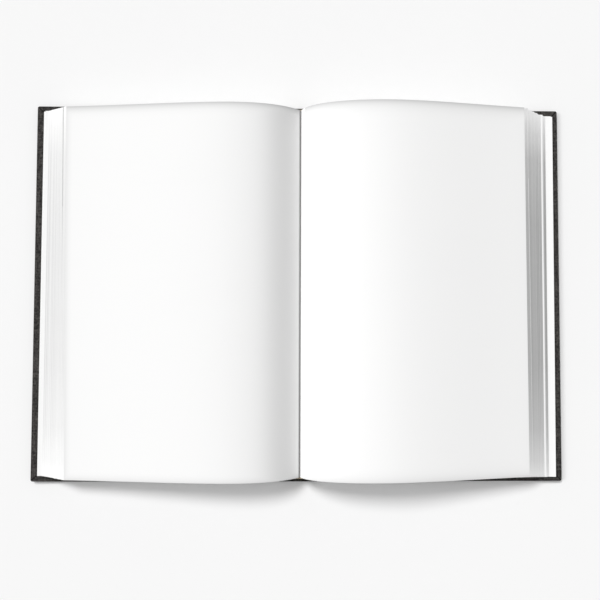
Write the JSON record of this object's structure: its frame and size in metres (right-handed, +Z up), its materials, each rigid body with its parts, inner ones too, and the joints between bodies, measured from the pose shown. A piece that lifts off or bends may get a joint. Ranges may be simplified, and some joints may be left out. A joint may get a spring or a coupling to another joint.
{
  "type": "opened notebook",
  "caption": "Hardback notebook with blank leaves, opened at the middle and lying flat on its two cloth covers.",
  "frame": {"origin": "middle of the spine's underside, on the surface that the notebook lies on", "axes": "+X towards the back cover's fore-edge (the right-hand page), +Y towards the head of the pages, +Z up from the covers"},
  "size_m": [0.3126, 0.222, 0.0278],
  "materials": {
    "greyboard": "matt grey board",
    "book_cloth": "fine woven charcoal book cloth",
    "endpaper": "smooth heavy white paper",
    "page_paper": "uncoated white paper",
    "band_cloth": "woven cotton band",
    "mull": "starched open gauze",
    "lining_paper": "kraft paper"
  },
  "bodies": {
    "block": {"text_block": "page_paper", "front_flyleaf": "endpaper", "back_flyleaf": "endpaper", "head_band": "band_cloth", "tail_band": "band_cloth", "spine_mull": "mull", "spine_lining": "lining_paper", "spine_stiffener": "greyboard", "spine_cloth": "book_cloth"},
    "front_cover": {"front_board": "greyboard", "front_cover_cloth": "book_cloth", "front_pastedown": "endpaper"},
    "back_cover": {"back_board": "greyboard", "back_cover_cloth": "book_cloth", "back_pastedown": "endpaper"}
  },
  "joints": [
    {"name": "front_joint", "type": "hinge", "parent": "block", "child": "front_cover", "pos_m": [-0.01475, 0, 0.0012], "axis": [0, -1, 0], "range_deg": [0, 90]},
    {"name": "back_joint", "type": "hinge", "parent": "block", "child": "back_cover", "pos_m": [0.01475, 0, 0.0012], "axis": [0, 1, 0], "range_deg": [0, 90]}
  ]
}
